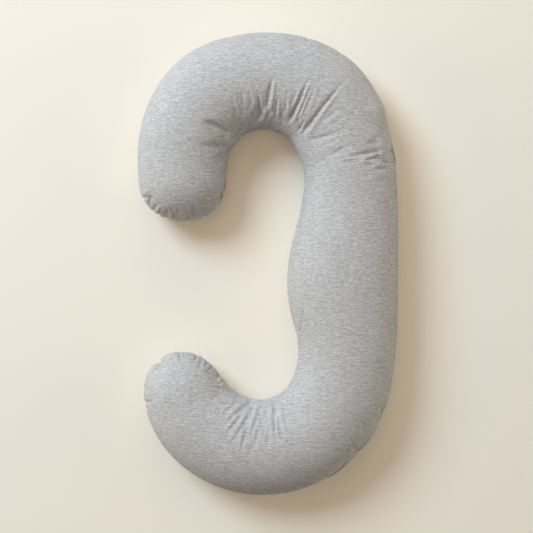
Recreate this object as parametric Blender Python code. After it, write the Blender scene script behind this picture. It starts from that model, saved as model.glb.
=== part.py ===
"""A C-shaped body pillow lying flat on its back, as one filled solid.

Two knit panels are sewn edge to edge all round and stuffed. The solid has their crown, the drawn-in
seam, the gathers of both bends, the puckers of both rounded ends and the flat that the pillow rests on.
Metres, +Z up. The origin is under the middle of the pillow's outline, on the surface it lies on.
"""

import math
from collections import namedtuple

import bmesh
import bpy
import numpy as np

# A station of the pillow's middle line, in order from the tip of the top hook to the tip of the lower one:
# its place in plan, half the pillow's width there, the crown's height over the floor, and how far the outer
# and the inner seam run above the widest line.
Station = namedtuple("Station", "x y half_width crown lift_out lift_in")
STATIONS = [
    Station(-0.235, 0.113, 0.127, 0.168, 0.000, 0.000),
    Station(-0.239, 0.232, 0.126, 0.176, 0.000, 0.002),
    Station(-0.236, 0.330, 0.129, 0.184, 0.000, 0.006),
    Station(-0.205, 0.411, 0.135, 0.190, 0.000, 0.008),
    Station(-0.147, 0.473, 0.138, 0.193, 0.000, 0.008),
    Station(-0.069, 0.507, 0.136, 0.193, 0.000, 0.008),
    Station(0.019, 0.512, 0.137, 0.193, 0.000, 0.008),
    Station(0.103, 0.489, 0.140, 0.194, 0.004, 0.008),
    Station(0.170, 0.438, 0.140, 0.194, 0.012, 0.008),
    Station(0.210, 0.358, 0.132, 0.192, 0.020, 0.006),
    Station(0.232, 0.275, 0.128, 0.190, 0.028, 0.004),
    Station(0.235, 0.190, 0.131, 0.190, 0.030, 0.006),
    Station(0.229, 0.106, 0.141, 0.194, 0.030, 0.012),
    Station(0.215, 0.010, 0.154, 0.200, 0.030, 0.016),
    Station(0.213, -0.092, 0.154, 0.200, 0.030, 0.016),
    Station(0.223, -0.180, 0.142, 0.196, 0.030, 0.010),
    Station(0.223, -0.262, 0.137, 0.192, 0.028, 0.004),
    Station(0.208, -0.346, 0.136, 0.190, 0.026, 0.004),
    Station(0.167, -0.427, 0.136, 0.190, 0.022, 0.006),
    Station(0.099, -0.488, 0.136, 0.190, 0.014, 0.008),
    Station(0.013, -0.516, 0.135, 0.188, 0.006, 0.008),
    Station(-0.072, -0.514, 0.133, 0.186, 0.000, 0.008),
    Station(-0.147, -0.483, 0.131, 0.182, 0.000, 0.006),
    Station(-0.202, -0.430, 0.125, 0.176, 0.000, 0.002),
    Station(-0.230, -0.368, 0.120, 0.170, 0.000, 0.000),
    Station(-0.230, -0.250, 0.118, 0.164, 0.000, 0.000),
]

# The form between the stations
END_ROUND = 0.117  # length over which each end rounds off
END_FULLNESS = 2.15  # exponent of the ends' rounding in plan: 2 is a half circle
WIDEST = 0.46  # height of the widest line, as a share of the crown's
FULLNESS = 2.25  # exponent of the section: 2 is an ellipse, more is squarer
SETTLE = 0.024  # how far the filling would reach below the floor if nothing held it up
FLAT_EDGE = 0.012  # softness of the rim of the flat that it rests on

# The sewn seam draws both panels in, and a fold stops short of the flat
SEAM_DEPTH = 0.007
SEAM_REACH = 0.008
FOLD_FLOOR = 0.030

# A fold in plan, from its deep end to its fading tip: how far it bows to the left of the straight line, the
# half width and depth of its trough, the height of the ridge to its right, and how much of it the
# underside has. A swelling has a negative depth.
Fold = namedtuple("Fold", "x0 y0 x1 y1 bow half_width depth ridge under")
FOLD_DEEP_END, FOLD_TIP = 0.12, 0.55  # shares of a fold's length over which it deepens and fades
FOLDS = [
    # the gathers of the top bend, from the right
    Fold(0.104, 0.372, 0.206, 0.504, -0.003, 0.0075, 0.0100, 0.0040, 0.4),
    Fold(0.064, 0.404, 0.114, 0.518, -0.003, 0.0070, 0.0100, 0.0035, 0.4),
    Fold(0.088, 0.414, 0.117, 0.490, 0.000, 0.0060, 0.0045, 0.0020, 0.0),
    Fold(0.087, 0.383, 0.098, 0.404, 0.000, 0.0060, 0.0040, 0.0010, 0.0),
    Fold(0.021, 0.420, 0.060, 0.496, 0.000, 0.0070, 0.0040, 0.0020, 0.3),
    Fold(-0.002, 0.420, 0.010, 0.508, 0.002, 0.0065, 0.0070, 0.0040, 0.4),
    Fold(-0.021, 0.428, -0.026, 0.494, 0.000, 0.0060, 0.0060, 0.0035, 0.3),
    Fold(-0.047, 0.428, -0.052, 0.486, 0.000, 0.0070, 0.0045, 0.0030, 0.3),
    Fold(-0.076, 0.428, -0.080, 0.490, 0.000, 0.0070, 0.0040, 0.0025, 0.3),
    Fold(-0.118, 0.372, -0.170, 0.400, 0.000, 0.0090, 0.0040, 0.0015, 0.3),
    Fold(0.150, 0.350, 0.206, 0.378, 0.000, 0.0080, 0.0025, -0.0020, 0.0),
    # the folds of the outer side below the top bend
    Fold(0.306, 0.324, 0.232, 0.302, -0.004, 0.0085, 0.0055, 0.0000, 0.0),
    Fold(0.334, 0.294, 0.275, 0.293, -0.008, 0.0075, 0.0050, 0.0000, 0.0),
    Fold(0.346, 0.274, 0.290, 0.260, 0.000, 0.0080, 0.0030, -0.0030, 0.0),
    Fold(0.370, 0.320, 0.338, 0.306, 0.000, 0.0090, 0.0060, 0.0000, 0.6),
    # the gathers of the lower bend, from the left
    Fold(-0.078, -0.396, -0.124, -0.424, 0.000, 0.0065, 0.0035, 0.0000, 0.3),
    Fold(-0.052, -0.394, -0.116, -0.450, -0.003, 0.0070, 0.0065, 0.0020, 0.4),
    Fold(-0.066, -0.425, -0.122, -0.494, 0.003, 0.0070, 0.0050, 0.0020, 0.0),
    Fold(-0.040, -0.406, -0.100, -0.494, 0.004, 0.0070, 0.0070, 0.0025, 0.4),
    Fold(-0.028, -0.430, -0.050, -0.484, 0.000, 0.0065, 0.0050, 0.0020, 0.0),
    Fold(-0.062, -0.478, -0.077, -0.528, 0.000, 0.0065, 0.0045, 0.0015, 0.0),
    Fold(-0.002, -0.398, -0.008, -0.430, 0.000, 0.0070, 0.0030, 0.0010, 0.3),
    Fold(0.019, -0.396, 0.016, -0.486, 0.000, 0.0075, 0.0055, 0.0020, 0.4),
    Fold(0.031, -0.436, 0.033, -0.492, 0.000, 0.0065, 0.0030, 0.0010, 0.0),
    # the seam's swellings and the nips between them on the outer side
    Fold(0.345, 0.440, 0.290, 0.420, 0.000, 0.0260, -0.0050, 0.0000, 0.6),
    Fold(0.336, -0.438, 0.285, -0.425, 0.000, 0.0090, 0.0070, 0.0000, 0.8),
    Fold(0.310, -0.500, 0.260, -0.470, 0.000, 0.0260, -0.0050, 0.0000, 0.8),
    Fold(0.262, -0.552, 0.222, -0.510, 0.000, 0.0090, 0.0070, 0.0000, 0.8),
    Fold(0.228, -0.590, 0.190, -0.550, 0.000, 0.0240, -0.0040, 0.0000, 0.8),
    # the puckers of the top hook's end, anticlockwise from its outer side
    Fold(-0.352, 0.181, -0.312, 0.203, 0.000, 0.0065, 0.0070, 0.0000, 0.9),
    Fold(-0.330, 0.150, -0.300, 0.180, 0.000, 0.0070, 0.0040, 0.0000, 0.9),
    Fold(-0.308, 0.126, -0.284, 0.164, 0.000, 0.0065, 0.0060, 0.0000, 0.9),
    Fold(-0.275, 0.108, -0.262, 0.150, 0.000, 0.0070, 0.0040, 0.0000, 0.9),
    Fold(-0.228, 0.106, -0.227, 0.150, 0.000, 0.0060, 0.0050, 0.0000, 0.9),
    Fold(-0.176, 0.116, -0.192, 0.156, 0.000, 0.0065, 0.0055, 0.0000, 0.9),
    Fold(-0.140, 0.150, -0.172, 0.180, 0.000, 0.0065, 0.0050, 0.0000, 0.9),
    Fold(-0.112, 0.200, -0.156, 0.204, 0.000, 0.0070, 0.0050, 0.0000, 0.9),
    # the puckers of the lower hook's end, clockwise from its outer side
    Fold(-0.360, -0.398, -0.318, -0.396, 0.000, 0.0070, 0.0050, 0.0000, 0.9),
    Fold(-0.344, -0.330, -0.306, -0.344, 0.000, 0.0070, 0.0035, 0.0000, 0.9),
    Fold(-0.316, -0.272, -0.284, -0.308, 0.000, 0.0070, 0.0050, 0.0000, 0.9),
    Fold(-0.256, -0.246, -0.246, -0.292, 0.000, 0.0065, 0.0055, 0.0000, 0.9),
    Fold(-0.204, -0.246, -0.210, -0.292, 0.000, 0.0060, 0.0060, 0.0000, 0.9),
    Fold(-0.162, -0.260, -0.188, -0.304, 0.000, 0.0065, 0.0060, 0.0000, 0.9),
    Fold(-0.122, -0.306, -0.160, -0.330, 0.000, 0.0070, 0.0050, 0.0000, 0.9),
]

# The mesh: steps round a section, and spacing of the sections where the pillow bends or folds and elsewhere
TOP_STEPS = 18
UNDER_STEPS = 11
CLOSE_SPACING = 0.0105
WIDE_SPACING = 0.026
BEND_RADIUS = 0.30  # a bend this tight or tighter gets the close spacing

COVER_GREY = (0.52, 0.52, 0.525, 1.0)
COVER_ROUGHNESS = 0.92


def spline(knots, values, at):
    """A natural cubic spline through values at knots, read at the given places."""
    knots, values = np.asarray(knots, float), np.asarray(values, float)
    gap = np.diff(knots)
    slope = np.diff(values) / gap
    count = len(knots)
    system, right = np.eye(count), np.zeros(count)
    for i in range(1, count - 1):
        system[i, i - 1 : i + 2] = gap[i - 1], 2 * (gap[i - 1] + gap[i]), gap[i]
        right[i] = 6 * (slope[i] - slope[i - 1])
    bend = np.linalg.solve(system, right)
    k = np.clip(np.searchsorted(knots, at, side="right") - 1, 0, count - 2)
    t, h = at - knots[k], gap[k]
    first = slope[k] - h * (2 * bend[k] + bend[k + 1]) / 6
    return values[k] + t * (first + t * (bend[k] / 2 + t * (bend[k + 1] - bend[k]) / (6 * h)))


def smooth(value):
    """0 below 0, 1 above 1, and an even turn between."""
    value = np.clip(value, 0.0, 1.0)
    return value * value * (3.0 - 2.0 * value)


def station_places():
    """How far along the middle line each station lies, measured straight from one to the next."""
    x = np.array([s.x for s in STATIONS])
    y = np.array([s.y for s in STATIONS])
    return np.concatenate([[0.0], np.cumsum(np.hypot(np.diff(x), np.diff(y)))])


def column(name, at):
    """One column of the stations' table, read anywhere along the middle line."""
    return spline(station_places(), [getattr(s, name) for s in STATIONS], at)


def section_places():
    """Places of the sections: close together where the pillow bends or folds, and closest at its tips."""
    total = station_places()[-1]
    fine = np.linspace(0.0, total, 3001)
    x, y = column("x", fine), column("y", fine)
    heading = np.unwrap(np.arctan2(np.gradient(y), np.gradient(x)))
    close = np.clip(np.abs(np.gradient(heading, fine)) * BEND_RADIUS, 0.0, 1.0)
    for fold in FOLDS:
        to_fold = np.hypot(x - fold.x0, y - fold.y0)
        close = np.maximum(close, np.exp(-(((fine - fine[np.argmin(to_fold)]) / 0.035) ** 2)))
    spacing = WIDE_SPACING + (CLOSE_SPACING - WIDE_SPACING) * close
    to_tip = np.minimum(fine, total - fine)
    spacing *= 0.22 + 0.78 * np.sqrt(np.clip(to_tip / END_ROUND, 0.0, 1.0))
    sections = np.concatenate([[0.0], np.cumsum(np.diff(fine) * 2.0 / (spacing[1:] + spacing[:-1]))])
    count = int(round(sections[-1]))
    return np.interp(np.linspace(0.0, sections[-1], count + 1), sections, fine)


def rest_on_floor(z):
    """Heights kept at or above 0, with a rounded turn at the rim of the flat instead of a corner."""
    turn = (z + FLAT_EDGE) ** 2 / (4 * FLAT_EDGE)
    return np.where(z >= FLAT_EDGE, z, np.where(z <= -FLAT_EDGE, 0.0, turn))


def filled_form(places):
    """The plain filled form: a row of points for each place, from the outer seam over the crown to the
    inner seam and back underneath, each a section of a flattened tube that closes at both tips."""
    total = station_places()[-1]
    x, y = column("x", places), column("y", places)
    ahead = np.clip(places + 1e-4, 0.0, total)
    behind = np.clip(places - 1e-4, 0.0, total)
    dx = column("x", ahead) - column("x", behind)
    dy = column("y", ahead) - column("y", behind)
    size = np.hypot(dx, dy)
    out_x, out_y = -dy / size, dx / size  # the line runs clockwise, so the outer side is on its left

    from_cap = np.clip(1.0 - np.minimum(places, total - places) / END_ROUND, 0.0, 1.0)
    cap = (1.0 - from_cap**END_FULLNESS) ** (1.0 / END_FULLNESS)
    half_width = column("half_width", places) * cap
    crown = column("crown", places)
    widest = WIDEST * crown
    rise = (crown - widest) * cap
    fall = (widest + SETTLE) * cap

    lift = [np.arcsin(column(side, places) * cap / np.maximum(rise, 1e-3)) for side in ("lift_out", "lift_in")]
    over = 0.5 - 0.5 * np.cos(np.pi * np.arange(TOP_STEPS) / TOP_STEPS)
    below = 0.5 - 0.5 * np.cos(np.pi * np.arange(UNDER_STEPS) / UNDER_STEPS)
    start, end = lift[0][:, None], (math.pi - lift[1])[:, None]
    angle = np.hstack([start + (end - start) * over, end + (2 * math.pi + start - end) * below])

    power = 2.0 / FULLNESS
    across = np.sign(np.cos(angle)) * np.abs(np.cos(angle)) ** power * half_width[:, None]
    up = np.abs(np.sin(angle)) ** power
    above = widest[:, None] + rise[:, None] * up
    under = widest[:, None] - fall[:, None] * up
    z = rest_on_floor(np.where(np.sin(angle) >= 0, above, under))
    return np.stack([x[:, None] + out_x[:, None] * across, y[:, None] + out_y[:, None] * across, z], axis=2)


def outward(rows):
    """The surface's outward direction at every point of the rows."""
    along = np.gradient(rows, axis=0)
    round_it = np.roll(rows, -1, axis=1) - np.roll(rows, 1, axis=1)
    normal = np.cross(round_it, along)
    return normal / np.maximum(np.linalg.norm(normal, axis=2, keepdims=True), 1e-12)


def fold_height(fold, rows):
    """How far a fold lifts each point: a trough across its line, a ridge to its right, faded at its ends."""
    run = np.array([fold.x1 - fold.x0, fold.y1 - fold.y0])
    length = np.hypot(run[0], run[1])
    x, y = rows[..., 0] - fold.x0, rows[..., 1] - fold.y0
    share = (x * run[0] + y * run[1]) / length**2
    to_left = (run[0] * y - run[1] * x) / length - fold.bow * 4.0 * share * (1.0 - share)
    trough = fold.depth * np.exp(-((to_left / fold.half_width) ** 2))
    ridge = fold.ridge * np.exp(-(((to_left + 1.9 * fold.half_width) / fold.half_width) ** 2))
    faded = smooth(share / FOLD_DEEP_END) * smooth((1.0 - share) / FOLD_TIP)
    return (ridge - trough) * faded


def pressed(rows):
    """The filled form with its seam drawn in and its folds pressed in, above the flat that it rests on."""
    top = np.arange(rows.shape[1]) <= TOP_STEPS
    lifted = np.zeros(rows.shape[:2])
    for fold in FOLDS:
        lifted += fold_height(fold, rows) * np.where(top, 1.0, fold.under)
    for seam in (0, TOP_STEPS):
        from_seam = np.linalg.norm(rows - rows[:, seam : seam + 1], axis=2)
        lifted -= SEAM_DEPTH * np.exp(-((from_seam / SEAM_REACH) ** 2))
    lifted *= smooth(rows[..., 2] / FOLD_FLOOR)
    lifted[[0, -1]] = -SEAM_DEPTH
    normal = outward(rows)
    normal[[0, -1]] = rows[[0, -1]] - rows[[2, -3]].mean(axis=1, keepdims=True)
    normal[[0, -1]] /= np.linalg.norm(normal[[0, -1]], axis=2, keepdims=True)
    return rows + normal * lifted[..., None]


def loft(name, rows):
    """A closed mesh over rows of points, whose first and last rows each meet in one point."""
    rings, steps = rows.shape[0] - 2, rows.shape[1]
    shape = bmesh.new()
    first = shape.verts.new(rows[0].mean(axis=0))
    rounds = [[shape.verts.new(point) for point in row] for row in rows[1:-1]]
    last = shape.verts.new(rows[-1].mean(axis=0))
    for turn in range(steps):
        after = (turn + 1) % steps
        shape.faces.new([first, rounds[0][turn], rounds[0][after]])
        shape.faces.new([last, rounds[-1][after], rounds[-1][turn]])
        for ring in range(rings - 1):
            near, far = rounds[ring], rounds[ring + 1]
            shape.faces.new([near[turn], far[turn], far[after], near[after]])
    bmesh.ops.recalc_face_normals(shape, faces=shape.faces)
    mesh = bpy.data.meshes.new(name)
    shape.to_mesh(mesh)
    shape.free()
    mesh.shade_smooth()
    return mesh


def cover_material():
    material = bpy.data.materials.new("grey_marl_knit")
    material.use_nodes = True
    shader = material.node_tree.nodes["Principled BSDF"]
    shader.inputs["Base Color"].default_value = COVER_GREY
    shader.inputs["Roughness"].default_value = COVER_ROUGHNESS
    shader.inputs["Metallic"].default_value = 0.0
    return material


def main():
    for old in list(bpy.data.objects):
        bpy.data.objects.remove(old)
    collection = bpy.data.collections.new("body_pillow")
    bpy.context.scene.collection.children.link(collection)
    mesh = loft("pillow", pressed(filled_form(section_places())))
    mesh.materials.append(cover_material())
    collection.objects.link(bpy.data.objects.new("pillow", mesh))


main()
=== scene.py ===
"""Looks of a C-shaped body pillow: two panels of grey marl jersey, sewn edge to edge, stuffed and laid flat.

The cover is one closed surface on a grid of sections along the pillow and turns round it. A cloth
simulation of a coarse grid gives it the gathers of cloth that was cut for a wider C, and the creases,
puckers and seam that show are then pressed into the fine grid one by one. Metres, +Z up.
"""

import math
from collections import namedtuple

import bpy
import numpy as np
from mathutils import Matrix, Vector


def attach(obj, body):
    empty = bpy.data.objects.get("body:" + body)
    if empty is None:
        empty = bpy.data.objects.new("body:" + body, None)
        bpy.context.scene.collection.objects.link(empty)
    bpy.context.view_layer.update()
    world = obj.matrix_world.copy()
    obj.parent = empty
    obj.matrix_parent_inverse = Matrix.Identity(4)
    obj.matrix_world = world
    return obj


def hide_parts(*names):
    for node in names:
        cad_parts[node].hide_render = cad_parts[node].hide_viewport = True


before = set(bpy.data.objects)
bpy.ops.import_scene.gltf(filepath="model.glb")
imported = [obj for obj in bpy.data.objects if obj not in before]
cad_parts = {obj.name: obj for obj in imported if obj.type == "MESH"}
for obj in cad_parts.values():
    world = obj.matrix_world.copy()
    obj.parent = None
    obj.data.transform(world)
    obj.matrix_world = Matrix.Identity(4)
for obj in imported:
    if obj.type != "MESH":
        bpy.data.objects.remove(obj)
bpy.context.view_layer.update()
scene = bpy.context.scene

# ---------------------------------------------------------------------------------------------------------
# The photo's scale
# ---------------------------------------------------------------------------------------------------------

PHOTO_SIDE = 533  # pixels
METRES_A_PIXEL = 1.300 / 461  # the pillow is 461 pixels long in the photo
PILLOW_MIDDLE = (267.5, 262.5)  # pixels to the right and down, in the photo
CAMERA_PLACE = (  # over the photo's middle
    (PHOTO_SIDE / 2 - PILLOW_MIDDLE[0]) * METRES_A_PIXEL,
    (PILLOW_MIDDLE[1] - PHOTO_SIDE / 2) * METRES_A_PIXEL,
)
CAMERA_HEIGHT = 3.2
SENSOR_WIDTH = 36.0  # millimetres
OUTLINE_HEIGHT = 0.09  # about the height of the widest line, on whose level folds are placed

# ---------------------------------------------------------------------------------------------------------
# The filled form
# ---------------------------------------------------------------------------------------------------------

# A station of the middle line, from the tip of the top hook to the tip of the lower one: its place in plan,
# half the pillow's width there, the crown's height, and how far the outer and inner seam run above the
# widest line.
Station = namedtuple("Station", "x y half_width crown lift_out lift_in")
STATIONS = [
    Station(-0.2365, 0.116, 0.123, 0.168, 0.000, 0.022),
    Station(-0.2405, 0.232, 0.1245, 0.176, 0.000, 0.014),
    Station(-0.2355, 0.330, 0.130, 0.184, 0.000, 0.006),
    Station(-0.204, 0.410, 0.1365, 0.190, 0.000, 0.008),
    Station(-0.147, 0.4725, 0.139, 0.193, 0.000, 0.008),
    Station(-0.069, 0.505, 0.136, 0.193, 0.000, 0.008),
    Station(0.019, 0.510, 0.137, 0.193, 0.000, 0.008),
    Station(0.1025, 0.487, 0.1405, 0.194, 0.004, 0.008),
    Station(0.1685, 0.437, 0.1405, 0.194, 0.012, 0.008),
    Station(0.208, 0.358, 0.134, 0.192, 0.020, 0.006),
    Station(0.231, 0.275, 0.130, 0.190, 0.028, 0.004),
    Station(0.2335, 0.190, 0.133, 0.190, 0.030, 0.006),
    Station(0.228, 0.106, 0.142, 0.194, 0.030, 0.012),
    Station(0.2155, 0.010, 0.153, 0.200, 0.030, 0.016),
    Station(0.213, -0.092, 0.155, 0.200, 0.030, 0.016),
    Station(0.2225, -0.180, 0.144, 0.196, 0.030, 0.010),
    Station(0.223, -0.262, 0.137, 0.192, 0.028, 0.004),
    Station(0.2085, -0.347, 0.137, 0.190, 0.027, 0.004),
    Station(0.168, -0.4295, 0.1365, 0.190, 0.026, 0.006),
    Station(0.100, -0.491, 0.1355, 0.190, 0.021, 0.008),
    Station(0.013, -0.519, 0.135, 0.188, 0.010, 0.008),
    Station(-0.072, -0.515, 0.133, 0.186, 0.000, 0.008),
    Station(-0.1465, -0.4825, 0.130, 0.182, 0.000, 0.006),
    Station(-0.203, -0.431, 0.125, 0.176, 0.000, 0.002),
    Station(-0.232, -0.3685, 0.119, 0.170, 0.000, 0.000),
    Station(-0.2275, -0.2545, 0.116, 0.164, 0.000, 0.000),
]
END_ROUND = 0.117  # length over which each end rounds off
END_FULLNESS = 2.1  # exponent of the ends' rounding in plan
WIDEST = 0.42  # height of the widest line, as a share of the crown's
FULLNESS = 2.0  # exponent of the section
LOFT = 1.04  # how much the filling lifts the crown over the stations' height
SETTLE = 0.024  # how far the filling would reach below the floor if nothing held it up
FLAT_EDGE = 0.012  # softness of the rim of the flat that it rests on

# A grid over the cover: steps over the top panel and the under one, and the spacing of its sections where
# the cover is folded and where it is plain.
Grid = namedtuple("Grid", "top under close wide")
SIMULATED = Grid(54, 30, 0.0080, 0.0160)
SHOWN = Grid(108, 42, 0.0030, 0.0064)
FOLDED_STRETCHES = ((-1.0, 0.13), (0.28, 0.97), (1.50, 9.0))  # from and to, along the middle line
FOLDED_EASE = 0.06  # length over which the spacing goes from one to the other
TIP_SPACING = 0.22  # the spacing at the very tips, as a share of that further in
FINE_PLACES = 3001  # even places along the middle line, from which its turns are read
CROWDED_TOP, CROWDED_UNDER = 0.55, 0.85  # how much closer together the steps are at the seams


def spline(knots, values, at):
    """A natural cubic spline: at each knot the slopes and bends on both sides agree. Values may be whole
    rows of numbers, read at many places at once."""
    knots, values = np.asarray(knots, float), np.asarray(values, float)
    gap = np.diff(knots)
    wide = (-1,) + (1,) * (values.ndim - 1)
    slope = np.diff(values, axis=0) / gap.reshape(wide)
    count = len(knots)
    inner = np.arange(1, count - 1)
    system, right = np.eye(count), np.zeros_like(values)
    system[inner, inner - 1], system[inner, inner] = gap[:-1], 2 * (gap[:-1] + gap[1:])
    system[inner, inner + 1] = gap[1:]
    right[1:-1] = 6 * np.diff(slope, axis=0)
    bend = np.linalg.solve(system, right.reshape(count, -1)).reshape(values.shape)
    k = np.clip(np.searchsorted(knots, at, side="right") - 1, 0, count - 2)
    t, h = (at - knots[k]).reshape(wide), gap[k].reshape(wide)
    first = slope[k] - h * (2 * bend[k] + bend[k + 1]) / 6
    return values[k] + t * (first + t * (bend[k] / 2 + t * (bend[k + 1] - bend[k]) / (6 * h)))


def smooth(value):
    """0 below 0, 1 above 1, and an even turn between."""
    value = np.clip(value, 0.0, 1.0)
    return value * value * (3.0 - 2.0 * value)


def station_places():
    """How far along the middle line each station lies, measured straight from one to the next."""
    x = np.array([s.x for s in STATIONS])
    y = np.array([s.y for s in STATIONS])
    return np.concatenate([[0.0], np.cumsum(np.hypot(np.diff(x), np.diff(y)))])


PLACES = station_places()
LENGTH = PLACES[-1]


def column(name, at):
    """One column of the stations' table, read anywhere along the middle line."""
    return spline(PLACES, [getattr(s, name) for s in STATIONS], at)


def turning():
    """Even places along the middle line, the heading there and the turn for each metre."""
    fine = np.linspace(0.0, LENGTH, FINE_PLACES)
    x, y = column("x", fine), column("y", fine)
    heading = np.unwrap(np.arctan2(np.gradient(y, fine), np.gradient(x, fine)))
    return fine, heading, np.gradient(heading, fine)


def section_places(grid):
    """Places of a grid's sections: close together where the cover is folded, and closest at its tips."""
    fine = np.linspace(0.0, LENGTH, FINE_PLACES)
    close = np.zeros_like(fine)
    for start, end in FOLDED_STRETCHES:
        close = np.maximum(close, smooth((fine - start) / FOLDED_EASE) * smooth((end - fine) / FOLDED_EASE))
    spacing = grid.wide + (grid.close - grid.wide) * close
    to_tip = np.minimum(fine, LENGTH - fine)
    spacing *= TIP_SPACING + (1.0 - TIP_SPACING) * np.sqrt(np.clip(to_tip / END_ROUND, 0.0, 1.0))
    sections = np.concatenate([[0.0], np.cumsum(np.diff(fine) * 2.0 / (spacing[1:] + spacing[:-1]))])
    count = int(round(sections[-1]))
    return np.interp(np.linspace(0.0, sections[-1], count + 1), sections, fine)


def middle_line(places, bend_kept=1.0):
    """Points and headings of the middle line. With less than its full bend, every turn is made that much
    weaker and the line that much longer, so that the outer side keeps its length and the inner one gains:
    the wider C that the panels were cut to."""
    fine, heading, turn = turning()
    if bend_kept == 1.0:
        return column("x", places), column("y", places), np.interp(places, fine, heading)
    middle = len(fine) // 2
    eased = heading[middle] + bend_kept * (heading - heading[middle])
    step = np.hypot(np.gradient(column("x", fine), fine), np.gradient(column("y", fine), fine))
    step += column("half_width", fine) * np.maximum(-turn, 0.0) * (1.0 - bend_kept)
    x = np.cumsum(np.cos(eased) * step) * (fine[1] - fine[0])
    y = np.cumsum(np.sin(eased) * step) * (fine[1] - fine[0])
    return np.interp(places, fine, x), np.interp(places, fine, y), np.interp(places, fine, eased)


def rest_on_floor(z):
    """Heights kept at or above 0, with a rounded turn at the rim of the flat instead of a corner."""
    turn = (z + FLAT_EDGE) ** 2 / (4 * FLAT_EDGE)
    return np.where(z >= FLAT_EDGE, z, np.where(z <= -FLAT_EDGE, 0.0, turn))


def even_steps(count, crowding):
    """Shares from 0 up to just before 1, closer together at both seams than between them."""
    share = np.arange(count) / count
    return share - crowding * np.sin(2 * np.pi * share) / (2 * np.pi)


def round_shares(grid):
    """Where each step of a grid lies round a section: 0 to 1 over the top, and 1 to 2 underneath."""
    return np.concatenate([even_steps(grid.top, CROWDED_TOP), 1.0 + even_steps(grid.under, CROWDED_UNDER)])


def filled_form(places, grid, bend_kept=1.0):
    """The plain filled form: a row of points for each place, from the outer seam over the crown to the
    inner seam and back underneath. Each row is a flattened superellipse across the middle line, which
    shrinks to a point over the last stretch at both tips."""
    x, y, heading = middle_line(places, bend_kept)
    out_x, out_y = -np.sin(heading), np.cos(heading)
    from_cap = np.clip(1.0 - np.minimum(places, LENGTH - places) / END_ROUND, 0.0, 1.0)
    cap = (1.0 - from_cap**END_FULLNESS) ** (1.0 / END_FULLNESS)
    half_width = column("half_width", places) * cap
    crown = column("crown", places) * LOFT
    widest = WIDEST * crown
    rise = (crown - widest) * cap
    fall = (widest + SETTLE) * cap
    lift_out = np.arcsin(column("lift_out", places) * cap / np.maximum(rise, 1e-3))
    lift_in = np.arcsin(column("lift_in", places) * cap / np.maximum(rise, 1e-3))
    start, end = lift_out[:, None], (math.pi - lift_in)[:, None]
    share = round_shares(grid)
    over, below = share[: grid.top], share[grid.top :] - 1.0
    angle = np.hstack([start + (end - start) * over, end + (2 * math.pi + start - end) * below])
    power = 2.0 / FULLNESS
    across = np.sign(np.cos(angle)) * np.abs(np.cos(angle)) ** power * half_width[:, None]
    up = np.abs(np.sin(angle)) ** power
    above = widest[:, None] + rise[:, None] * up
    under = widest[:, None] - fall[:, None] * up
    z = rest_on_floor(np.where(np.sin(angle) >= 0, above, under))
    return np.stack([x[:, None] + out_x[:, None] * across, y[:, None] + out_y[:, None] * across, z], axis=2)


def outward(rows):
    """The surface's outward direction at every point of the rows: square to the way round its row and to
    the way on to the next row. At the tips it points straight away from the rows further in."""
    along = np.gradient(rows, axis=0)
    round_it = np.roll(rows, -1, axis=1) - np.roll(rows, 1, axis=1)
    normal = np.cross(round_it, along)
    normal /= np.maximum(np.linalg.norm(normal, axis=2, keepdims=True), 1e-12)
    tips = rows[[0, -1]] - rows[[3, -4]].mean(axis=1, keepdims=True)
    normal[[0, -1]] = tips / np.linalg.norm(tips, axis=2, keepdims=True)
    return normal


# ---------------------------------------------------------------------------------------------------------
# Folds
# ---------------------------------------------------------------------------------------------------------

# A fold as it is seen from above, on the level of the outline, from its deep end to its fading tip: how far
# it bows to the left of the straight line, the half width and depth of its trough, the height of the ridge
# to its right, and how much of it the underside has. A swelling has a negative depth.
Fold = namedtuple("Fold", "x0 y0 x1 y1 bow half_width depth ridge under")
FOLD_DEEP_END, FOLD_TIP = 0.18, 0.38  # shares of a fold's length over which it deepens and fades
TO_THE_LIGHT = (-0.64, -0.77)  # the way to the key light in the photo, to the right and down
DARK_FLANK = 0.6  # how far the dark flank lies from a trough's middle, for its half width
RUNS_WITH_LIGHT = 0.3  # where a fold's flank faces the light less than this, the dark line nears its middle


def place_in_photo(x, y):
    """A pixel of the photo as a place on the level of the outline, to the millimetre."""
    right, down = x - PILLOW_MIDDLE[0], y - PILLOW_MIDDLE[1]
    return round(right * METRES_A_PIXEL, 3), round(-down * METRES_A_PIXEL, 3)


def trough(x0, y0, x1, y1, bow, half_width, depth, ridge, under):
    """A fold whose middle runs from one pixel of the photo to another. The bow is in pixels too."""
    bow = round(bow * METRES_A_PIXEL, 3)
    return Fold(*place_in_photo(x0, y0), *place_in_photo(x1, y1), bow, half_width, depth, ridge, under)


def dark_line(x0, y0, x1, y1, bow, half_width, depth, ridge, under):
    """A fold that is seen as a dark line, the flank of its trough on the side of the light: that line,
    moved squarely away from the light by a share of the half width."""
    length = math.hypot(x1 - x0, y1 - y0)
    right, down = (y0 - y1) / length, (x1 - x0) / length
    facing = right * TO_THE_LIGHT[0] + down * TO_THE_LIGHT[1]
    share = math.copysign(min(1.0, abs(facing) / RUNS_WITH_LIGHT), facing)
    away = share * DARK_FLANK * half_width / METRES_A_PIXEL
    x, y = right * away, down * away
    return trough(x0 - x, y0 - y, x1 - x, y1 - y, bow, half_width, depth, ridge, under)


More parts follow.
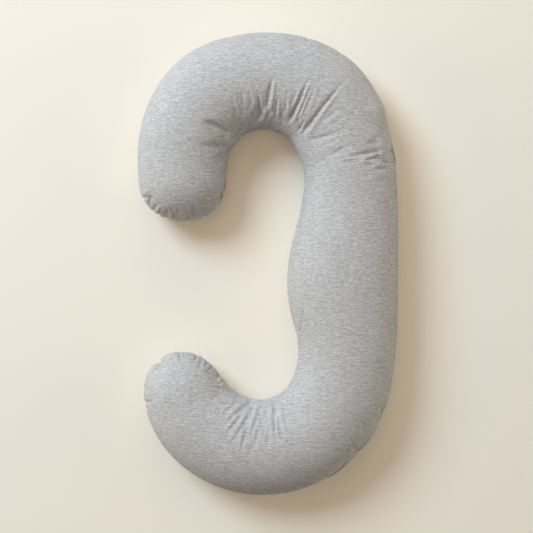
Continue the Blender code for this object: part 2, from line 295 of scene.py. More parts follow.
# Each fold's line as it was found in the photo, in pixels, and its sizes in metres.
FOLDS = [
    # the gathers of the top bend, from the right: a long one and its echo over the crown
    dark_line(300.5, 135.0, 345.0, 78.5, 1.0, 0.0060, 0.0085, 0.0040, 0.4),
    dark_line(341.0, 84.0, 355.0, 69.5, 0.0, 0.0050, 0.0014, 0.0008, 0.0),
    dark_line(320.0, 122.5, 342.0, 105.5, 0.0, 0.0050, 0.0018, 0.0012, 0.0),
    dark_line(331.0, 124.0, 349.0, 113.0, 0.0, 0.0050, 0.0012, 0.0009, 0.0),
    dark_line(297.5, 131.0, 304.5, 119.0, 0.0, 0.0036, 0.0036, 0.0016, 0.2),
    dark_line(286.5, 125.0, 309.5, 74.0, -0.8, 0.0052, 0.0072, 0.0038, 0.4),
    dark_line(296.5, 118.0, 311.0, 85.0, 0.0, 0.0032, 0.0026, 0.0020, 0.0),
    dark_line(304.0, 112.0, 317.0, 82.0, 0.0, 0.0044, 0.0016, 0.0014, 0.0),
    dark_line(311.5, 78.0, 316.0, 67.0, 0.0, 0.0046, 0.0014, 0.0008, 0.0),
    dark_line(289.5, 108.0, 298.0, 87.0, 0.0, 0.0038, 0.0018, 0.0022, 0.0),
    dark_line(283.8, 116.0, 287.3, 87.0, 0.0, 0.0042, 0.0015, 0.0018, 0.0),
    dark_line(275.0, 118.0, 277.3, 96.0, 0.0, 0.0038, 0.0032, 0.0034, 0.3),
    dark_line(273.3, 114.0, 272.3, 100.0, 0.0, 0.0034, 0.0012, 0.0006, 0.3),
    dark_line(264.6, 113.0, 271.6, 75.0, 0.0, 0.0062, 0.0028, 0.0052, 0.4),
    dark_line(261.3, 120.0, 257.0, 92.0, 0.0, 0.0048, 0.0048, 0.0032, 0.3),
    dark_line(258.0, 121.0, 256.5, 98.0, 0.0, 0.0070, 0.0042, 0.0000, 0.3),
    dark_line(252.0, 111.0, 247.8, 87.0, 0.0, 0.0046, 0.0014, 0.0020, 0.3),
    dark_line(243.8, 119.0, 240.3, 90.0, 0.0, 0.0060, 0.0028, 0.0012, 0.3),
    dark_line(235.2, 115.0, 231.3, 93.0, 0.0, 0.0052, 0.0016, 0.0020, 0.3),
    dark_line(228.5, 118.0, 222.0, 101.0, 0.0, 0.0060, 0.0018, 0.0010, 0.3),
    # the hollows where the top hook turns away from its bend
    dark_line(233.0, 134.0, 203.0, 117.5, 0.0, 0.0100, 0.0075, 0.0000, 0.3),
    dark_line(227.0, 146.5, 199.0, 142.5, 0.0, 0.0086, 0.0052, 0.0000, 0.3),
    dark_line(234.0, 149.0, 210.0, 158.0, 0.0, 0.0060, 0.0052, 0.0014, 0.3),
    # the fine lines between the top bend and the outer side
    dark_line(306.0, 140.0, 345.0, 127.5, -1.2, 0.0046, 0.0038, -0.0012, 0.0),
    dark_line(331.0, 154.0, 350.0, 142.5, 0.0, 0.0044, 0.0020, -0.0008, 0.0),
    dark_line(321.0, 146.0, 341.1, 137.0, 0.0, 0.0050, 0.0010, 0.0009, 0.0),
    dark_line(324.0, 154.0, 345.0, 152.0, 0.0, 0.0046, 0.0011, 0.0008, 0.0),
    # the folds of the outer side below the top bend
    dark_line(380.0, 141.5, 365.0, 141.5, 0.0, 0.0070, 0.0040, 0.0006, 0.0),
    dark_line(381.0, 136.0, 370.0, 137.0, 0.0, 0.0060, 0.0026, 0.0006, 0.0),
    dark_line(382.0, 149.5, 361.0, 153.8, -0.6, 0.0070, 0.0070, 0.0000, 0.0),
    dark_line(371.0, 150.5, 347.0, 156.6, 0.0, 0.0044, 0.0060, 0.0000, 0.0),
    trough(360.0, 160.0, 387.0, 150.8, 0.0, 0.0034, -0.0028, 0.0000, 0.0),
    dark_line(378.0, 156.0, 364.0, 160.0, 0.0, 0.0044, 0.0056, 0.0000, 0.0),
    dark_line(374.5, 154.9, 392.5, 165.0, 0.6, 0.0044, 0.0090, 0.0000, 0.0),
    dark_line(379.0, 153.6, 390.0, 159.6, 0.0, 0.0026, 0.0030, 0.0000, 0.0),
    trough(359.0, 162.0, 375.0, 161.0, 0.0, 0.0028, -0.0024, 0.0000, 0.0),
    trough(376.0, 164.2, 395.0, 168.4, 0.0, 0.0022, -0.0022, 0.0000, 0.0),
    dark_line(373.0, 163.9, 363.0, 165.4, 0.0, 0.0034, 0.0024, 0.0000, 0.0),
    dark_line(392.5, 165.8, 371.0, 169.8, 0.0, 0.0046, 0.0052, 0.0000, 0.0),
    # the faint lines of the long back
    dark_line(356.0, 160.5, 340.0, 160.5, 0.0, 0.0040, 0.0018, 0.0010, 0.0),
    dark_line(362.0, 158.0, 345.0, 160.0, 0.0, 0.0040, 0.0016, 0.0008, 0.0),
    dark_line(360.0, 204.0, 349.0, 206.5, 0.0, 0.0046, 0.0016, 0.0010, 0.0),
    dark_line(386.0, 178.0, 374.0, 181.0, 0.0, 0.0060, 0.0016, 0.0006, 0.0),
    dark_line(317.0, 291.0, 326.5, 283.0, 0.0, 0.0050, 0.0018, 0.0008, 0.0),
    dark_line(303.5, 303.0, 298.0, 338.0, 0.8, 0.0034, 0.0032, 0.0012, 0.0),
    # the gathers of the lower bend, from the left
    dark_line(236.0, 403.2, 220.0, 413.2, 0.0, 0.0051, 0.0020, 0.0014, 0.3),
    dark_line(253.0, 400.1, 224.5, 424.0, -1.6, 0.0060, 0.0039, 0.0026, 0.4),
    dark_line(242.0, 413.0, 223.0, 436.5, 0.0, 0.0054, 0.0026, 0.0026, 0.0),
    dark_line(254.5, 404.0, 227.5, 445.5, 0.8, 0.0052, 0.0032, 0.0024, 0.4),
    dark_line(246.5, 427.0, 239.6, 453.5, -0.4, 0.0052, 0.0030, 0.0020, 0.0),
    dark_line(262.0, 404.0, 249.0, 439.5, -1.0, 0.0056, 0.0031, 0.0022, 0.3),
    dark_line(257.4, 427.5, 253.8, 449.0, 0.0, 0.0051, 0.0025, 0.0014, 0.0),
    dark_line(266.5, 407.0, 262.0, 424.0, 0.0, 0.0056, 0.0018, 0.0014, 0.3),
    dark_line(274.5, 401.0, 274.4, 439.0, -0.9, 0.0059, 0.0047, 0.0028, 0.4),
    dark_line(277.8, 416.0, 280.5, 442.0, -0.2, 0.0054, 0.0031, 0.0018, 0.0),
    dark_line(267.6, 431.5, 266.3, 446.0, 0.0, 0.0051, 0.0025, 0.0012, 0.0),
    dark_line(282.8, 400.0, 284.8, 431.0, 0.0, 0.0061, 0.0020, 0.0016, 0.3),
    dark_line(251.0, 444.0, 247.0, 457.0, 0.0, 0.0069, 0.0018, 0.0010, 0.0),
    # the hollows where the lower hook's end turns away from its bend
    dark_line(223.0, 377.0, 203.0, 367.0, 0.0, 0.0080, 0.0064, 0.0000, 0.2),
    dark_line(223.5, 383.5, 206.5, 376.0, 0.0, 0.0046, 0.0026, 0.0000, 0.0),
    dark_line(229.0, 388.5, 202.0, 388.0, -1.8, 0.0036, 0.0014, 0.0004, 0.0),
    dark_line(243.0, 399.5, 221.0, 391.5, 0.0, 0.0060, 0.0034, 0.0000, 0.0),
    # the swellings of the outer side between its nips
    trough(391.6, 106.5, 366.8, 115.3, 0.0, 0.0340, -0.0065, 0.0000, 0.6),
    trough(377.4, 439.8, 359.7, 429.2, 0.0, 0.0260, -0.0040, 0.0000, 0.8),
    # the nips of the outer seam, from the top bend clockwise
    trough(198.0, 42.0, 201.5, 52.0, 0.0, 0.0050, 0.0030, 0.0000, 0.6),
    trough(228.0, 33.0, 230.0, 43.0, 0.0, 0.0060, 0.0024, 0.0000, 0.6),
    trough(309.5, 35.0, 306.0, 45.0, 0.0, 0.0060, 0.0026, 0.0000, 0.6),
    trough(343.5, 50.5, 337.5, 58.0, 0.0, 0.0050, 0.0024, 0.0000, 0.6),
    trough(400.0, 150.2, 383.0, 152.4, 0.0, 0.0050, 0.0044, 0.0000, 0.2),
    trough(399.0, 180.7, 388.0, 181.5, 0.0, 0.0060, 0.0026, 0.0000, 0.6),
    trough(392.0, 413.5, 376.0, 409.0, 0.0, 0.0060, 0.0042, 0.0000, 0.8),
    trough(387.0, 424.5, 371.0, 418.0, 0.0, 0.0090, 0.0034, 0.0000, 0.8),
    trough(364.0, 456.5, 350.5, 445.0, 0.0, 0.0080, 0.0050, 0.0000, 0.8),
    trough(354.0, 471.0, 340.0, 457.0, 0.0, 0.0160, 0.0026, 0.0000, 0.8),
    trough(328.0, 484.0, 323.5, 472.0, 0.0, 0.0060, 0.0030, 0.0000, 0.8),
    # the puckers of the top hook's end, anticlockwise from its outer side
    trough(138.5, 201.8, 147.3, 196.0, 0.0, 0.0038, 0.0070, 0.0000, 0.9),
    trough(143.5, 195.0, 149.0, 189.0, 0.0, 0.0046, -0.0022, 0.0000, 0.3),
    dark_line(141.0, 185.0, 143.5, 195.0, 0.0, 0.0028, 0.0020, 0.0014, 0.0),
    dark_line(148.9, 195.0, 148.2, 208.5, 0.0, 0.0048, 0.0060, 0.0000, 0.4),
    dark_line(151.0, 212.5, 157.5, 202.5, 0.0, 0.0044, 0.0030, 0.0000, 0.8),
    trough(157.5, 213.0, 159.5, 205.5, 0.0, 0.0046, -0.0024, 0.0000, 0.3),
    trough(155.5, 219.5, 162.0, 209.5, 0.0, 0.0040, 0.0060, 0.0000, 0.9),
    dark_line(164.5, 223.5, 165.8, 207.5, 0.0, 0.0070, 0.0062, 0.0000, 0.8),
    dark_line(172.3, 223.0, 174.0, 211.0, 0.0, 0.0046, 0.0038, 0.0000, 0.6),
    dark_line(171.0, 216.0, 171.5, 203.5, 0.0, 0.0050, 0.0026, 0.0000, 0.3),
    dark_line(176.8, 220.0, 176.5, 206.5, 0.0, 0.0060, 0.0034, 0.0000, 0.3),
    trough(187.3, 225.5, 188.5, 213.5, 0.0, 0.0042, 0.0055, 0.0000, 0.8),
    dark_line(190.4, 220.0, 191.6, 202.0, 0.0, 0.0060, 0.0046, 0.0000, 0.3),
    trough(204.8, 221.5, 201.0, 210.5, 0.0, 0.0046, 0.0070, 0.0000, 0.8),
    trough(219.5, 209.0, 210.5, 201.5, 0.0, 0.0052, 0.0056, 0.0000, 0.8),
    trough(228.5, 194.4, 216.5, 192.8, 0.0, 0.0046, 0.0050, 0.0000, 0.8),
    # the puckers of the lower hook's end, clockwise from its outer side
    trough(139.5, 404.5, 153.0, 401.0, 0.0, 0.0046, 0.0085, 0.0000, 0.9),
    trough(143.0, 410.0, 150.0, 406.8, 0.0, 0.0034, 0.0036, 0.0000, 0.6),
    trough(140.0, 389.0, 150.0, 389.5, 0.0, 0.0060, 0.0020, 0.0000, 0.6),
    trough(151.0, 354.0, 166.0, 371.0, 0.0, 0.0120, 0.0090, 0.0000, 0.9),
    trough(156.0, 356.0, 166.0, 368.0, 0.0, 0.0046, 0.0070, 0.0000, 0.9),
    trough(179.2, 348.5, 181.0, 363.5, 0.0, 0.0038, 0.0056, 0.0000, 0.6),
    trough(184.5, 348.0, 184.8, 362.0, 0.0, 0.0040, 0.0026, 0.0000, 0.6),
    trough(198.3, 350.0, 194.0, 363.0, 0.0, 0.0038, 0.0056, 0.0000, 0.8),
    dark_line(203.0, 355.0, 195.5, 371.5, 0.0, 0.0070, 0.0034, 0.0000, 0.6),
    dark_line(211.0, 355.8, 203.0, 368.0, 0.0, 0.0044, 0.0048, 0.0000, 0.7),
    dark_line(215.5, 362.0, 207.0, 371.0, 0.0, 0.0036, 0.0034, 0.0000, 0.7),
]
FOLD_NARROWS = 0.8  # how much narrower a fold is at its tip than at its deep end
FLANK_REACH = 0.62  # reach of a trough's flanks, for its half width
RIDGE_AT = 1.6  # how far to the right of its trough a ridge lies, for its half width
FOLD_FLOOR = 0.030  # height below which folds and gathers fade, down to the flat on the floor
CREASE_ROUND = 50.0  # how round a trough's bottom is, for the square of its half width


def seen_from_above(rows):
    """Where the camera sees points, as places on the level of the outline."""
    nearer = (CAMERA_HEIGHT - OUTLINE_HEIGHT) / (CAMERA_HEIGHT - rows[..., 2])
    return (
        CAMERA_PLACE[0] + (rows[..., 0] - CAMERA_PLACE[0]) * nearer,
        CAMERA_PLACE[1] + (rows[..., 1] - CAMERA_PLACE[1]) * nearer,
    )


def fold_height(fold, seen_x, seen_y, widened=0.0):
    """How far a fold lifts each point: a creased trough across its line, a ridge to its right, faded at its
    ends. Widened folds are round troughs, for a coarse grid."""
    run = np.array([fold.x1 - fold.x0, fold.y1 - fold.y0])
    length = np.hypot(run[0], run[1])
    x, y = seen_x - fold.x0, seen_y - fold.y0
    share = (x * run[0] + y * run[1]) / length**2
    to_left = (run[0] * y - run[1] * x) / length - fold.bow * 4.0 * share * (1.0 - share)
    half = fold.half_width * (1.0 + FOLD_NARROWS * (0.5 - np.clip(share, 0.0, 1.0))) + widened
    if widened or fold.depth < 0.0:
        trough = fold.depth * np.exp(-((to_left / half) ** 2))
    else:
        bottom = CREASE_ROUND * half**2
        away = np.sqrt(to_left**2 + bottom**2) - bottom
        trough = fold.depth * np.exp(-away / (FLANK_REACH * half))
    ridge = fold.ridge * np.exp(-(((to_left + RIDGE_AT * half) / half) ** 2))
    faded = smooth(share / FOLD_DEEP_END) * smooth((1.0 - share) / FOLD_TIP)
    return (ridge - trough) * faded


def folded(rows, grid, widened=0.0, strength=1.0):
    """How far all folds together lift each point of the rows, with the flat left alone."""
    seen_x, seen_y = seen_from_above(rows)
    top = np.arange(rows.shape[1]) <= grid.top
    lifted = np.zeros(rows.shape[:2])
    for fold in FOLDS:
        lifted += fold_height(fold, seen_x, seen_y, widened) * np.where(top, 1.0, fold.under)
    return strength * lifted * smooth(rows[..., 2] / FOLD_FLOOR)


# The seam is drawn in by the sewing over a broad strip, and its two edges meet in a narrow groove. Along some
# stretches it gapes: the upper panel's edge stands out over a slot, and the lower panel's swells beside it.
SEAM_STRIP, SEAM_STRIP_REACH = 0.0035, 0.0090
SEAM_GROOVE, SEAM_GROOVE_REACH = 0.0035, 0.0022
SLOT_DEPTH, SLOT_REACH = 0.0100, 0.0022
SWELL_OUT, SWELL_UP, SWELL_AT = 0.0034, 0.0040, 0.0045
Gape = namedtuple("Gape", "start end share")  # from and to, along the middle line, and how much it gapes
GAPE_EASE = 0.02  # length over which a gape opens and closes
OUTER_GAPES = [
    Gape(0.876, 0.916, 0.8),
    Gape(0.932, 0.946, 0.5),
    Gape(0.968, 0.990, 0.6),
    Gape(1.100, 1.190, 0.2),
    Gape(1.235, 1.255, 0.2),
    Gape(1.280, 1.360, 0.3),
    Gape(1.362, 1.378, 0.6),
    Gape(1.530, 1.558, 0.5),
    Gape(1.604, 1.640, 0.6),
    Gape(1.664, 1.706, 1.0),
]
INNER_GAPES = [Gape(0.055, 0.075, 0.6), Gape(0.086, 0.104, 0.5), Gape(1.080, 1.330, 0.15)]


def gaping(places, gapes):
    """How much the seam gapes at each place: each stretch's share, eased in and out round its ends."""
    share = np.zeros_like(places)
    for gape in gapes:
        opened = smooth((places - gape.start) / GAPE_EASE + 0.5)
        not_closed = smooth((gape.end - places) / GAPE_EASE + 0.5)
        share = np.maximum(share, gape.share * (opened * not_closed))
    return share[:, None]


def seam_moves(rows, places, grid):
    """How far the sewing moves each point: both seams drawn in along a strip and a groove, which meet at the
    tips, with a slot and a swelling where they gape."""
    drawn, slot, swell = np.zeros(rows.shape[:2]), np.zeros(rows.shape[:2]), np.zeros(rows.shape[:2])
    below = np.arange(rows.shape[1]) > grid.top
    for seam, gapes in ((0, OUTER_GAPES), (grid.top, INNER_GAPES)):
        from_seam = np.linalg.norm(rows - rows[:, seam : seam + 1], axis=2)
        drawn -= SEAM_STRIP * np.exp(-((from_seam / SEAM_STRIP_REACH) ** 2))
        drawn -= SEAM_GROOVE * np.exp(-from_seam / SEAM_GROOVE_REACH)
        share = gaping(places, gapes)
        slot += share * np.exp(-((from_seam / SLOT_REACH) ** 2))
        swell += below * share * (from_seam / SWELL_AT) * np.exp(1.0 - from_seam / SWELL_AT)
    drawn[[0, -1]] = -SEAM_STRIP - SEAM_GROOVE
    direction = outward(rows)
    level = direction * (1.0, 1.0, 0.0)
    upright = np.array([0.0, 0.0, 1.0])
    moves = direction * drawn[..., None] + level * (SWELL_OUT * swell)[..., None]
    return moves + upright * (SWELL_UP * swell - SLOT_DEPTH * slot)[..., None]


# ---------------------------------------------------------------------------------------------------------
# The panels laid flat
# ---------------------------------------------------------------------------------------------------------


def panels_laid_flat(plain, places, grid):
    """Where each point lies on its panel before sewing, on rows: the middle line's place, plus the point's
    length of cloth from it sideways. The third number grows with the length from the seam underneath, so
    that the two panels' knit differs."""
    x, y, heading = middle_line(places)
    crown_line = plain[:, grid.top // 2]
    length = np.concatenate([[0.0], np.cumsum(np.linalg.norm(np.diff(crown_line, axis=0), axis=1))])
    body = np.interp([END_ROUND, LENGTH - END_ROUND], places, length)
    before = np.minimum(length - body[0] - (places - END_ROUND), 0.0) * (places < END_ROUND)
    after = np.maximum(length - body[1] - (places - LENGTH + END_ROUND), 0.0) * (places > LENGTH - END_ROUND)
    longer = before + after
    closed = np.concatenate([plain, plain[:, :1]], axis=1)
    steps = np.linalg.norm(np.diff(closed, axis=1), axis=2)
    run = np.concatenate([np.zeros((len(plain), 1)), np.cumsum(steps, axis=1)], axis=1)
    over = run[:, grid.top : grid.top + 1]
    below = run[:, -1:] - over
    under_run = run[:, :-1] - over
    top = np.arange(plain.shape[1])[None, :] <= grid.top
    sideways = np.where(top, over / 2 - run[:, :-1], under_run * over / np.maximum(below, 1e-9) - over / 2)
    depth = np.where(top, 0.0, np.minimum(under_run, below - under_run))
    return np.stack(
        [
            (x + np.cos(heading) * longer)[:, None] - np.sin(heading)[:, None] * sideways,
            (y + np.sin(heading) * longer)[:, None] + np.cos(heading)[:, None] * sideways,
            -depth,
        ],
        axis=2,
    )


def panel_maps(flat):
    """Both panels on one square map, side by side and the top one larger: the corner of each and its
    scale."""
    low, high = flat[..., :2].min(axis=(0, 1)), flat[..., :2].max(axis=(0, 1))
    gap = 0.008  # left free round each panel
    top_scale = (1.0 - 2 * gap) / (high[1] - low[1])
    used = top_scale * (high[0] - low[0]) + 2 * gap
    under_scale = (1.0 - gap - used) / (high[0] - low[0])
    top_corner = np.array([gap, gap]) - low * top_scale
    under_corner = np.array([used, gap]) - low * under_scale
    return (top_corner, top_scale), (under_corner, under_scale)


def lay_maps(mesh, flat, grid):
    """The panels' places as a point attribute, for the knit, and as the piece's map."""
    points = flat_list(flat)
    places = mesh.attributes.new("panel", "FLOAT_VECTOR", "POINT")
    places.data.foreach_set("vector", points.astype(np.float32).ravel())
    rings, steps = flat.shape[0] - 2, flat.shape[1]
    step_of_quad = np.tile(np.arange(steps), rings - 1)
    step_of_face = np.concatenate([step_of_quad, np.arange(steps), np.arange(steps)])
    corners_of_face = np.concatenate([np.full(len(step_of_quad), 4), np.full(2 * steps, 3)])
    on_top = np.repeat(step_of_face < grid.top, corners_of_face)
    corner_points = np.empty(len(mesh.loops), np.int32)
    mesh.loops.foreach_get("vertex_index", corner_points)
    (top_corner, top_scale), (under_corner, under_scale) = panel_maps(flat)
    place = points[corner_points][:, :2]
    laid = np.where(on_top[:, None], top_corner + place * top_scale, under_corner + place * under_scale)
    panel_map = mesh.uv_layers.new(name="OFBake")
    panel_map.data.foreach_set("uv", laid.astype(np.float32).ravel())


# ---------------------------------------------------------------------------------------------------------
# Grid to mesh
# ---------------------------------------------------------------------------------------------------------


def flat_list(rows):
    """The points of a closed mesh over rows, in its vertex order."""
    return np.vstack([rows[0].mean(axis=0), rows[1:-1].reshape(-1, 3), rows[-1].mean(axis=0)])


def closed_faces(rings, steps):
    """Corner lists of a closed surface: point 0, rings of points, and a last point. Quads between rings,
    and a fan at each tip."""
    turn = np.arange(steps)
    after = (turn + 1) % steps
    last = 1 + rings * steps
    ring = np.arange(rings - 1)[:, None] * steps + 1
    here, there = ring, ring + steps
    quads = np.stack([here + turn, here + after, there + after, there + turn], axis=2).reshape(-1, 4)
    first_fan = np.stack([np.zeros(steps, int), 1 + after, 1 + turn], axis=1)
    last_fan = np.stack([np.full(steps, last), last - steps + turn, last - steps + after], axis=1)
    return quads, first_fan, last_fan


def mesh_of(name, rows):
    """A closed mesh over rows of points. The first and last rows each meet in one point."""
    rings, steps = rows.shape[0] - 2, rows.shape[1]
    points = flat_list(rows)
    quads, first_fan, last_fan = closed_faces(rings, steps)
    mesh = bpy.data.meshes.new(name)
    corners = np.concatenate([quads.ravel(), first_fan.ravel(), last_fan.ravel()])
    sizes = np.concatenate([np.full(len(quads), 4), np.full(2 * steps, 3)])
    mesh.vertices.add(len(points))
    mesh.vertices.foreach_set("co", points.astype(np.float32).ravel())
    mesh.loops.add(len(corners))
    mesh.loops.foreach_set("vertex_index", corners.astype(np.int32))
    mesh.polygons.add(len(sizes))
    mesh.polygons.foreach_set("loop_start", np.concatenate([[0], np.cumsum(sizes)[:-1]]).astype(np.int32))
    mesh.update(calc_edges=True)
    mesh.validate()
    mesh.shade_smooth()
    return mesh


# ---------------------------------------------------------------------------------------------------------
# Cloth simulation
# ---------------------------------------------------------------------------------------------------------

BEND_CUT = 0.92  # the bend that the panels were cut with, as a share of the bend in which they lie
FRAMES = 18
PRESSURE = 10.0  # how hard the stuffing presses outwards
SEED_WIDER = 0.004  # the folds start as shallow round troughs, this much wider, and the cloth deepens them
SEED_STRENGTH = 0.5
BROAD = 0.040  # what is broader than this is the form's own shape, and stays as it was
HELD_BELOW = 0.001  # height below which the cloth is held on the floor
# How much of the simulated gathers shows at places along the middle line, and evenly between them.
Gathers = namedtuple("Gathers", "place share")
GATHERED = [
    Gathers(0.00, 0.20),
    Gathers(0.22, 0.30),
    Gathers(0.32, 0.60),
    Gathers(0.72, 0.60),
    Gathers(0.82, 0.20),
    Gathers(1.60, 0.20),
    Gathers(1.72, 0.45),
    Gathers(1.98, 0.45),
    Gathers(2.05, 0.20),
    Gathers(2.20, 0.20),
]


def simulated_moves():
    """How far cloth cut for a wider C moves off the plain form, as rows on the simulated grid. Its inner
    sides are longer than the form's and gather there, most of all where a fold already starts."""
    places = section_places(SIMULATED)
    plain = filled_form(places, SIMULATED)
    seeds = folded(plain, SIMULATED, SEED_WIDER, SEED_STRENGTH)
    start = plain + outward(plain) * seeds[..., None]
    mesh = mesh_of("simulated_cover", start)
    cloth = bpy.data.objects.new("simulated_cover", mesh)
    scene.collection.objects.link(cloth)
    cloth.shape_key_add(name="lying")
    cut_key = cloth.shape_key_add(name="cut")
    cut = flat_list(filled_form(places, SIMULATED, BEND_CUT))
    cut_key.data.foreach_set("co", cut.astype(np.float32).ravel())
    points = flat_list(start)
    held = cloth.vertex_groups.new(name="held")
    held.add(np.nonzero(points[:, 2] < HELD_BELOW)[0].tolist(), 1.0, "REPLACE")
    cloth.modifiers.new("before", "WELD").merge_threshold = 0.0  # without it the cut's lengths are not read
    modifier = cloth.modifiers.new("stuffing", "CLOTH")
    settings = modifier.settings
    settings.quality = 6
    settings.mass = 0.3
    settings.tension_stiffness = 20.0
    settings.compression_stiffness = 20.0
    settings.shear_stiffness = 5.0
    settings.bending_stiffness = 0.6
    settings.tension_damping = 10.0
    settings.compression_damping = 10.0
    settings.shear_damping = 5.0
    settings.air_damping = 4.0
    settings.use_pressure = True
    settings.uniform_pressure_force = PRESSURE
    settings.vertex_group_mass = "held"
    settings.rest_shape_key = cut_key
    settings.effector_weights.gravity = 0.0
    modifier.collision_settings.use_collision = False
    modifier.point_cache.frame_start = 1
    modifier.point_cache.frame_end = FRAMES
    for number in range(1, FRAMES + 1):
        scene.frame_set(number)
    settled = cloth.evaluated_get(bpy.context.evaluated_depsgraph_get())
    after = np.empty(len(points) * 3, np.float32)
    settled.data.vertices.foreach_get("co", after)
    scene.frame_set(1)
    bpy.data.objects.remove(cloth)
    bpy.data.meshes.remove(mesh)
    after = after.reshape(-1, 3).astype(float)
    rows = np.empty_like(plain)
    rows[0], rows[-1] = after[0], after[-1]
    rows[1:-1] = after[1:-1].reshape(plain[1:-1].shape)
    return rows - plain


def blurred(rows, at, reach):
    """Rows averaged with their neighbours, weighted with a bell curve by how near those lie."""
    weight = np.exp(-0.5 * ((at[:, None] - at[None, :]) / reach) ** 2) * np.gradient(at)[None, :]
    weight /= weight.sum(axis=1, keepdims=True)
    return np.tensordot(weight, rows, axes=1)


def gathered(moves, places):
    """The simulated moves on the shown grid, without their broad part: the form keeps its outline and only
    gains the gathers."""
    coarse_places, coarse_round = section_places(SIMULATED), round_shares(SIMULATED)
    kept = moves - blurred(moves, coarse_places, BROAD)
    share = np.interp(coarse_places, [at.place for at in GATHERED], [at.share for at in GATHERED])
    kept *= share[:, None, None]
    along = spline(coarse_places, kept, places).swapaxes(0, 1)
    knots = np.concatenate([coarse_round - 2.0, coarse_round, coarse_round + 2.0])
    return spline(knots, np.concatenate([along, along, along]), round_shares(SHOWN)).swapaxes(0, 1)


def pillow_rows(plain, places):
    """The finished surface: the plain form, its simulated gathers, and its folds and seam pressed in."""
    rows = plain
    moves = gathered(simulated_moves(), places)
    rows = plain + moves * smooth(plain[..., 2:] / FOLD_FLOOR)
    return rows + outward(plain) * folded(rows, SHOWN)[..., None] + seam_moves(plain, places, SHOWN)


# ---------------------------------------------------------------------------------------------------------
# Materials
# ---------------------------------------------------------------------------------------------------------


def floor_material():
    """A matt cream surface with a painted glow: light of its own that lifts its shadows evenly."""
    material = bpy.data.materials.new("cream_surface")
    material.use_nodes = True
    shader = material.node_tree.nodes["Principled BSDF"]
    shader.inputs["Base Color"].default_value = FLOOR_COLOUR
    shader.inputs["Roughness"].default_value = 0.9
    # painted light: the floor gives off light of its own, on which no shadow falls, and which also lights the
    # pillow from below
    shader.inputs["Emission Color"].default_value = FLOOR_PAINTED_GLOW
    shader.inputs["Emission Strength"].default_value = 1.0
    return material


# One layer of the marl: the length and thickness of its streaks, and how strongly they show.
Streaks = namedtuple("Streaks", "name length thickness strength")
MARL = [
    Streaks("flecks", 0.0052, 0.0018, 0.40),
    Streaks("streaks", 0.0120, 0.0033, 0.50),
    Streaks("bands", 0.0440, 0.0035, 0.34),
]
PATCHES = Streaks("patches", 0.090, 0.060, 0.05)
MARL_GREY = 0.512  # the mean of light and dark fibres


def streak_layer(nodes, links, place, layer):
    """Streaks that run along the panel's X, as a noise between 0 and 1, stretched that way."""
    mapping = nodes.new("ShaderNodeMapping")
    mapping.inputs["Scale"].default_value = (1 / layer.length, 1 / layer.thickness, 1 / layer.length)
    noise = nodes.new("ShaderNodeTexNoise")
    noise.name = layer.name
    noise.inputs["Scale"].default_value = 1.0
    noise.inputs["Detail"].default_value = 1.5
    noise.inputs["Roughness"].default_value = 0.55
    noise.inputs["Distortion"].default_value = 0.25
    links.new(place, mapping.inputs["Vector"])
    links.new(mapping.outputs["Vector"], noise.inputs["Vector"])
    return noise.outputs["Fac"]


def cover_material():
    """Grey marl jersey: dark and light fibres in short streaks along the knit's courses, and a fine
    relief. The layers are added up round zero, and the sum lightens and darkens the grey."""
    material = bpy.data.materials.new("grey_marl_jersey")
    material.use_nodes = True
    nodes, links = material.node_tree.nodes, material.node_tree.links
    shader = nodes["Principled BSDF"]
    panel = nodes.new("ShaderNodeAttribute")
    panel.attribute_name = "panel"
    place = panel.outputs["Vector"]
    total = None
    for layer in MARL + [PATCHES]:
        noise = streak_layer(nodes, links, place, layer)
        centred = nodes.new("ShaderNodeMath")
        centred.operation = "MULTIPLY_ADD"
        links.new(noise, centred.inputs[0])
        centred.inputs[1].default_value = 2.0 * layer.strength
        centred.inputs[2].default_value = -layer.strength
        if total is None:
            total = centred.outputs[0]
            continue
        both = nodes.new("ShaderNodeMath")
        both.operation = "ADD"
        links.new(total, both.inputs[0])
        links.new(centred.outputs[0], both.inputs[1])
        total = both.outputs[0]
    shade = nodes.new("ShaderNodeMath")
    shade.operation = "MULTIPLY_ADD"
    shade.inputs[1].default_value = MARL_GREY
    shade.inputs[2].default_value = MARL_GREY
    links.new(total, shade.inputs[0])
    grey = nodes.new("ShaderNodeCombineColor")
    for part in ("Red", "Green", "Blue"):
        links.new(shade.outputs[0], grey.inputs[part])
    links.new(grey.outputs["Color"], shader.inputs["Base Color"])
    bump = nodes.new("ShaderNodeBump")
    bump.inputs["Strength"].default_value = 0.5
    bump.inputs["Distance"].default_value = 0.0006
    links.new(total, bump.inputs["Height"])
    links.new(bump.outputs["Normal"], shader.inputs["Normal"])
    shader.inputs["Roughness"].default_value = 0.9
    shader.inputs["Specular IOR Level"].default_value = 0.2
    return material


# ---------------------------------------------------------------------------------------------------------
# Floor, light and camera
# ---------------------------------------------------------------------------------------------------------

# A soft round lamp: the way it stands from the pillow, turned from +X and climbing from the floor, its
# distance, its width, and its power in red, green and blue.
Lamp = namedtuple("Lamp", "name turn climb away across red green blue")
LAMPS = [
    Lamp("key", 136.0, 40.0, 8.0, 4.0, 376.0, 455.0, 538.0),
    Lamp("top", 90.0, 40.0, 7.0, 6.0, 104.0, 89.0, 73.0),
    Lamp("left", 180.0, 8.0, 7.0, 6.0, 194.0, 153.0, 96.0),
    Lamp("right", 0.0, 8.0, 7.0, 6.0, 161.0, 159.0, 134.0),
    Lamp("above", 0.0, 90.0, 4.0, 4.0, 35.0, 27.0, 18.0),
]
ROOM_LIGHT = (0.089, 0.080, 0.088, 1.0)
FLOOR_COLOUR = (0.872, 0.825, 0.738, 1.0)
FLOOR_PAINTED_GLOW = (0.070, 0.058, 0.036, 1.0)  # painted light: the floor's own glow, standing in for light from the room behind the camera
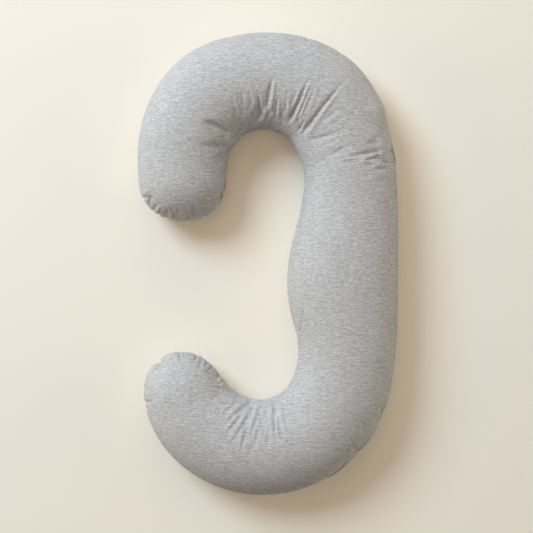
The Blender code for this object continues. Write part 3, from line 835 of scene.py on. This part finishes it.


def make_camera():
    """A camera that looks straight down and sees the photo's width on the level of the outline."""
    data = bpy.data.cameras.new("camera")
    data.sensor_width = SENSOR_WIDTH
    data.lens = SENSOR_WIDTH * (CAMERA_HEIGHT - OUTLINE_HEIGHT) / (PHOTO_SIDE * METRES_A_PIXEL)
    camera = bpy.data.objects.new("camera", data)
    camera.location = (CAMERA_PLACE[0], CAMERA_PLACE[1], CAMERA_HEIGHT)
    scene.collection.objects.link(camera)
    scene.camera = camera


def make_floor():
    """A wide flat square under the pillow."""
    half = 6.0
    mesh = bpy.data.meshes.new("floor")
    corners = [(-half, -half, 0.0), (half, -half, 0.0), (half, half, 0.0), (-half, half, 0.0)]
    mesh.from_pydata(corners, [], [(0, 1, 2, 3)])
    mesh.materials.append(floor_material())
    floor = bpy.data.objects.new("floor", mesh)
    scene.collection.objects.link(floor)


def make_lights():
    """The lamps, each turned towards the middle of the pillow, and the even light of the room."""
    for lamp in LAMPS:
        data = bpy.data.lights.new(lamp.name, "AREA")
        data.shape = "DISK"
        data.size = lamp.across
        data.energy = max(lamp.red, lamp.green, lamp.blue)
        data.color = [part / data.energy for part in (lamp.red, lamp.green, lamp.blue)]
        turn, climb = math.radians(lamp.turn), math.radians(lamp.climb)
        level = math.cos(climb)
        towards = Vector((math.cos(turn) * level, math.sin(turn) * level, math.sin(climb)))
        stand = bpy.data.objects.new(lamp.name, data)
        stand.location = towards * lamp.away
        stand.rotation_euler = towards.to_track_quat("Z", "Y").to_euler()
        scene.collection.objects.link(stand)
    world = bpy.data.worlds.new("room")
    world.use_nodes = True
    world.node_tree.nodes["Background"].inputs["Color"].default_value = ROOM_LIGHT
    scene.world = world
    scene.view_settings.view_transform = "Standard"


def main():
    """The cover, its materials and its place in the frame, and then camera, floor and lights."""
    places = section_places(SHOWN)
    plain = filled_form(places, SHOWN)
    mesh = mesh_of("pillow_cover", pillow_rows(plain, places))
    lay_maps(mesh, panels_laid_flat(plain, places, SHOWN), SHOWN)
    mesh.materials.append(cover_material())
    cover = bpy.data.objects.new("pillow_cover", mesh)
    scene.collection.objects.link(cover)
    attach(cover, "root")
    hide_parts("pillow")
    make_camera()
    make_floor()
    make_lights()


main()
